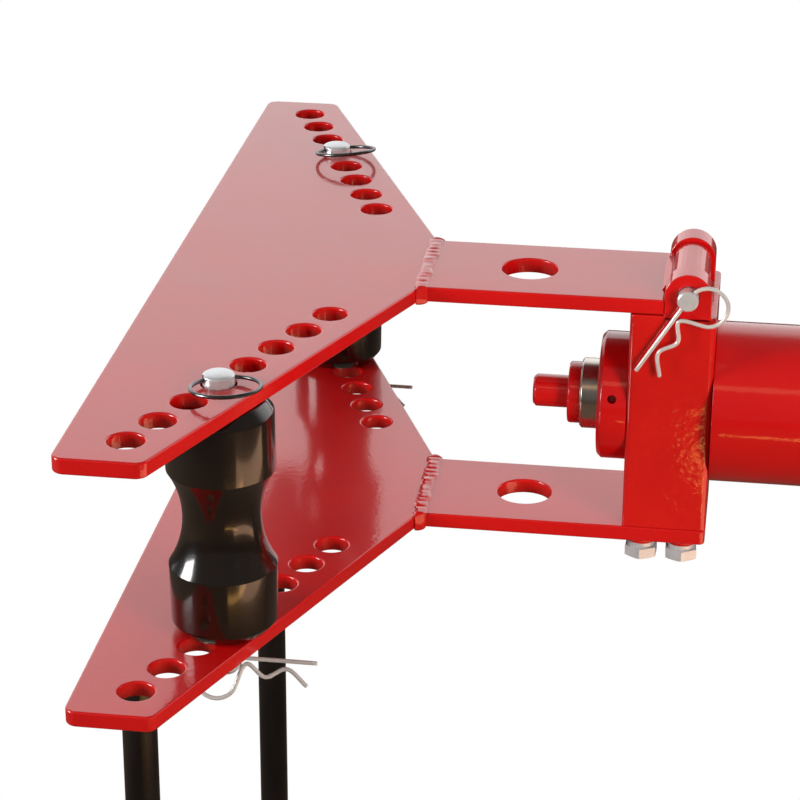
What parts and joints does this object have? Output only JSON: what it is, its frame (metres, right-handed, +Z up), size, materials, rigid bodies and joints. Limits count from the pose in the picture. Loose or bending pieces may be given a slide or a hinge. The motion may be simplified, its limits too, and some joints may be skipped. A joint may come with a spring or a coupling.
{
  "type": "hydraulic pipe bender",
  "caption": "Hydraulic pipe bender on three legs: a hinged open wing frame with waisted rollers on drop pins, a ram between the plates, and a lever pump behind.",
  "frame": {"origin": "on the floor, under the middle of the whole", "axes": "+X from the wings towards the pump handle, along the ram; +Y across, away from the viewer in the picture; +Z up"},
  "size_m": [1.274, 0.682, 0.7551],
  "materials": {
    "red_paint": "gloss",
    "roller_black": "gloss",
    "zinc": "zinc plated",
    "ground_steel": "ground and polished",
    "dark_steel": "oiled",
    "leg_black": "satin",
    "soft_rubber": "matte",
    "seal": "matte"
  },
  "bodies": {
    "frame": {"lower_wing": "red_paint", "lower_neck": "red_paint", "lower_neck_weld": "red_paint", "head_block": "red_paint", "block_bolt_1": "zinc", "block_bolt_2": "zinc", "block_bolt_3": "zinc", "block_bolt_4": "zinc", "bolt_washer_1": "red_paint", "bolt_washer_2": "red_paint", "bolt_washer_3": "red_paint", "bolt_washer_4": "red_paint", "bolt_lock_washer_1": "zinc", "bolt_lock_washer_2": "zinc", "bolt_lock_washer_3": "zinc", "bolt_lock_washer_4": "zinc", "gland_nut": "red_paint", "wiper_seal": "seal", "return_spring": "dark_steel", "pressure_tube": "dark_steel", "tank_front_disc": "red_paint", "tank_tube": "red_paint", "filler_plug": "zinc", "pump_body": "red_paint", "plunger_gland": "zinc", "near_leg": "leg_black", "near_foot": "soft_rubber", "far_leg": "leg_black", "far_foot": "soft_rubber", "rear_leg": "leg_black", "rear_foot": "soft_rubber"},
    "top_frame": {"upper_wing": "red_paint", "upper_neck": "red_paint", "upper_neck_weld": "red_paint", "upper_knuckle": "red_paint"},
    "hinge_pin": {"hinge_pin": "zinc", "hinge_clip": "zinc"},
    "near_roller": {"near_roller": "roller_black"},
    "near_pin": {"near_roller_pin": "zinc", "near_roller_clip": "zinc"},
    "near_ring": {"near_pull_ring": "zinc"},
    "far_roller": {"far_roller": "roller_black"},
    "far_pin": {"far_roller_pin": "zinc", "far_roller_clip": "zinc"},
    "far_ring": {"far_pull_ring": "zinc"},
    "ram": {"ram_rod": "ground_steel", "ram_nose": "red_paint", "piston": "dark_steel", "piston_seal": "seal"},
    "plunger": {"pump_plunger": "ground_steel", "plunger_pin": "zinc"},
    "lever": {"lever_socket": "red_paint", "handle_tube": "leg_black", "handle_grip": "soft_rubber", "fulcrum_pin": "zinc"},
    "release_valve": {"release_stem": "ground_steel", "release_knob": "leg_black"}
  },
  "joints": [
    {"name": "ram_slide", "type": "slide", "parent": "frame", "child": "ram", "axis": [-1, 0, 0], "range_m": [0, 0.22], "stiffness_N_per_m": 2000, "springref_m": -0.04, "deforming": ["return_spring"]},
    {"name": "top_frame_hinge", "type": "hinge", "parent": "frame", "child": "top_frame", "pos_m": [-0.2834, 0, 0.6375], "axis": [0, 1, 0], "range_deg": [0, 100]},
    {"name": "hinge_pin_turn", "type": "hinge", "parent": "frame", "child": "hinge_pin", "pos_m": [-0.2834, 0, 0.6375], "axis": [0, 1, 0], "continuous": true},
    {"name": "near_roller_turn", "type": "hinge", "parent": "frame", "child": "near_roller", "pos_m": [-0.5614, -0.2209, 0.54525], "axis": [0, 0, 1], "continuous": true},
    {"name": "near_pin_lift", "type": "slide", "parent": "frame", "child": "near_pin", "axis": [0, 0, 1], "range_m": [0, 0.0105]},
    {"name": "near_ring_swing", "type": "hinge", "parent": "near_pin", "child": "near_ring", "pos_m": [-0.5614, -0.2209, 0.6377], "axis": [-0.9136, -0.4067, 0], "range_deg": [-9, 150]},
    {"name": "far_roller_turn", "type": "hinge", "parent": "frame", "child": "far_roller", "pos_m": [-0.5614, 0.2209, 0.54525], "axis": [0, 0, 1], "continuous": true},
    {"name": "far_pin_lift", "type": "slide", "parent": "frame", "child": "far_pin", "axis": [0, 0, 1], "range_m": [0, 0.0105]},
    {"name": "far_ring_swing", "type": "hinge", "parent": "far_pin", "child": "far_ring", "pos_m": [-0.5614, 0.2209, 0.6377], "axis": [-0.8746, -0.4848, 0], "range_deg": [-14, 140]},
    {"name": "lever_swing", "type": "hinge", "parent": "frame", "child": "lever", "pos_m": [0.0309, 0, 0.64525], "axis": [0, -1, 0], "range_deg": [0, 38]},
    {"name": "plunger_slide", "type": "slide", "parent": "frame", "child": "plunger", "axis": [0, 0, 1], "range_m": [0, 0.0276]},
    {"name": "release_valve_turn", "type": "hinge", "parent": "frame", "child": "release_valve", "pos_m": [0.0709, -0.06, 0.53125], "axis": [0, 1, 0], "range_deg": [0, 270]}
  ],
  "couplings": [
    {"joint": "plunger_slide", "follows": "lever_swing", "m_per_rad": 0.04153}
  ]
}
